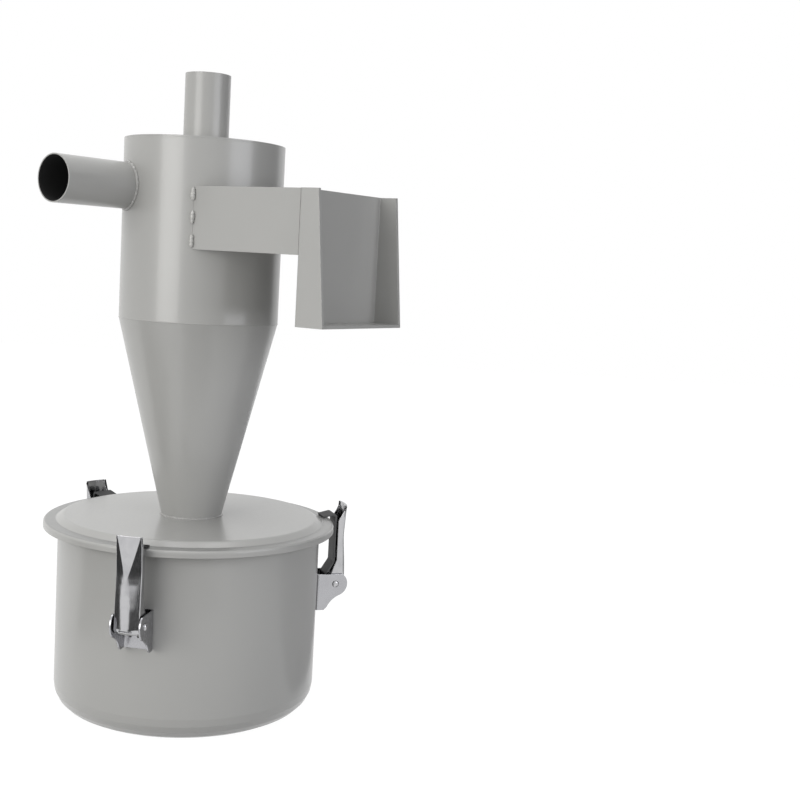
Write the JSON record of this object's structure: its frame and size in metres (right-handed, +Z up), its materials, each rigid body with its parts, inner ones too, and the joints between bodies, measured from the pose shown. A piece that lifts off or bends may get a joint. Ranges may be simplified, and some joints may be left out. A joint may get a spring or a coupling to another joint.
{
  "type": "cyclone separator on a latched dust bin",
  "caption": "Cyclone separator of painted sheet steel: barrel and cone on a lid that toggle latches hold on a round bin, with side inlet, top outlet and a hanger channel.",
  "frame": {"origin": "on the floor, at the axis that the bin, the cone and the barrel share", "axes": "+Z up along that axis; -Y is the side that the picture shows, with the hanger toward +X and the inlet toward -X"},
  "size_m": [0.3513, 0.3151, 0.639],
  "materials": {
    "painted_steel": "semi-gloss light grey enamel with a fine orange-peel texture",
    "plated_steel": "bright nickel-plated pressed steel",
    "rubber": "matte black rubber"
  },
  "bodies": {
    "separator": {"bin": "painted_steel", "bin_flange": "painted_steel", "seal": "rubber", "lid": "painted_steel", "lid_rim": "painted_steel", "cone": "painted_steel", "barrel": "painted_steel", "top_plate": "painted_steel", "outlet_pipe": "painted_steel", "inlet_pipe": "painted_steel", "foot_bead": "painted_steel", "girth_bead": "painted_steel", "outlet_bead": "painted_steel", "inlet_bead": "painted_steel", "hanger_arm": "painted_steel", "hanger_channel": "painted_steel", "hanger_floor": "painted_steel", "arm_stitches": "painted_steel", "channel_stitches": "painted_steel", "latch_a_base": "plated_steel", "latch_a_pin": "plated_steel", "latch_b_base": "plated_steel", "latch_b_pin": "plated_steel", "latch_c_base": "plated_steel", "latch_c_pin": "plated_steel"},
    "lever_a": {"latch_a_lever": "plated_steel", "latch_a_hook_pin": "plated_steel"},
    "hook_a": {"latch_a_hook": "plated_steel"},
    "lever_b": {"latch_b_lever": "plated_steel", "latch_b_hook_pin": "plated_steel"},
    "hook_b": {"latch_b_hook": "plated_steel"},
    "lever_c": {"latch_c_lever": "plated_steel", "latch_c_hook_pin": "plated_steel"},
    "hook_c": {"latch_c_hook": "plated_steel"}
  },
  "joints": [
    {"name": "lever_a_swing", "type": "hinge", "parent": "separator", "child": "lever_a", "pos_m": [0.14537, 0.05233, 0.1205], "axis": [-0.3387, 0.9409, 0], "range_deg": [0, 140]},
    {"name": "hook_a_swing", "type": "hinge", "parent": "lever_a", "child": "hook_a", "pos_m": [0.13502, 0.04861, 0.1205], "axis": [-0.3387, 0.9409, 0], "range_deg": [-140, 0]},
    {"name": "lever_b_swing", "type": "hinge", "parent": "separator", "child": "lever_b", "pos_m": [-0.11801, 0.09972, 0.1205], "axis": [-0.6455, -0.7638, 0], "range_deg": [0, 140]},
    {"name": "hook_b_swing", "type": "hinge", "parent": "lever_b", "child": "hook_b", "pos_m": [-0.1096, 0.09262, 0.1205], "axis": [-0.6455, -0.7638, 0], "range_deg": [-140, 0]},
    {"name": "lever_c_swing", "type": "hinge", "parent": "separator", "child": "lever_c", "pos_m": [-0.02736, -0.15206, 0.1205], "axis": [0.9842, -0.1771, 0], "range_deg": [0, 140]},
    {"name": "hook_c_swing", "type": "hinge", "parent": "lever_c", "child": "hook_c", "pos_m": [-0.02541, -0.14123, 0.1205], "axis": [0.9842, -0.1771, 0], "range_deg": [-140, 0]}
  ],
  "couplings": [
    {"joint": "hook_a_swing", "follows": "lever_a_swing", "ratio": -1},
    {"joint": "hook_b_swing", "follows": "lever_b_swing", "ratio": -1},
    {"joint": "hook_c_swing", "follows": "lever_c_swing", "ratio": -1}
  ]
}
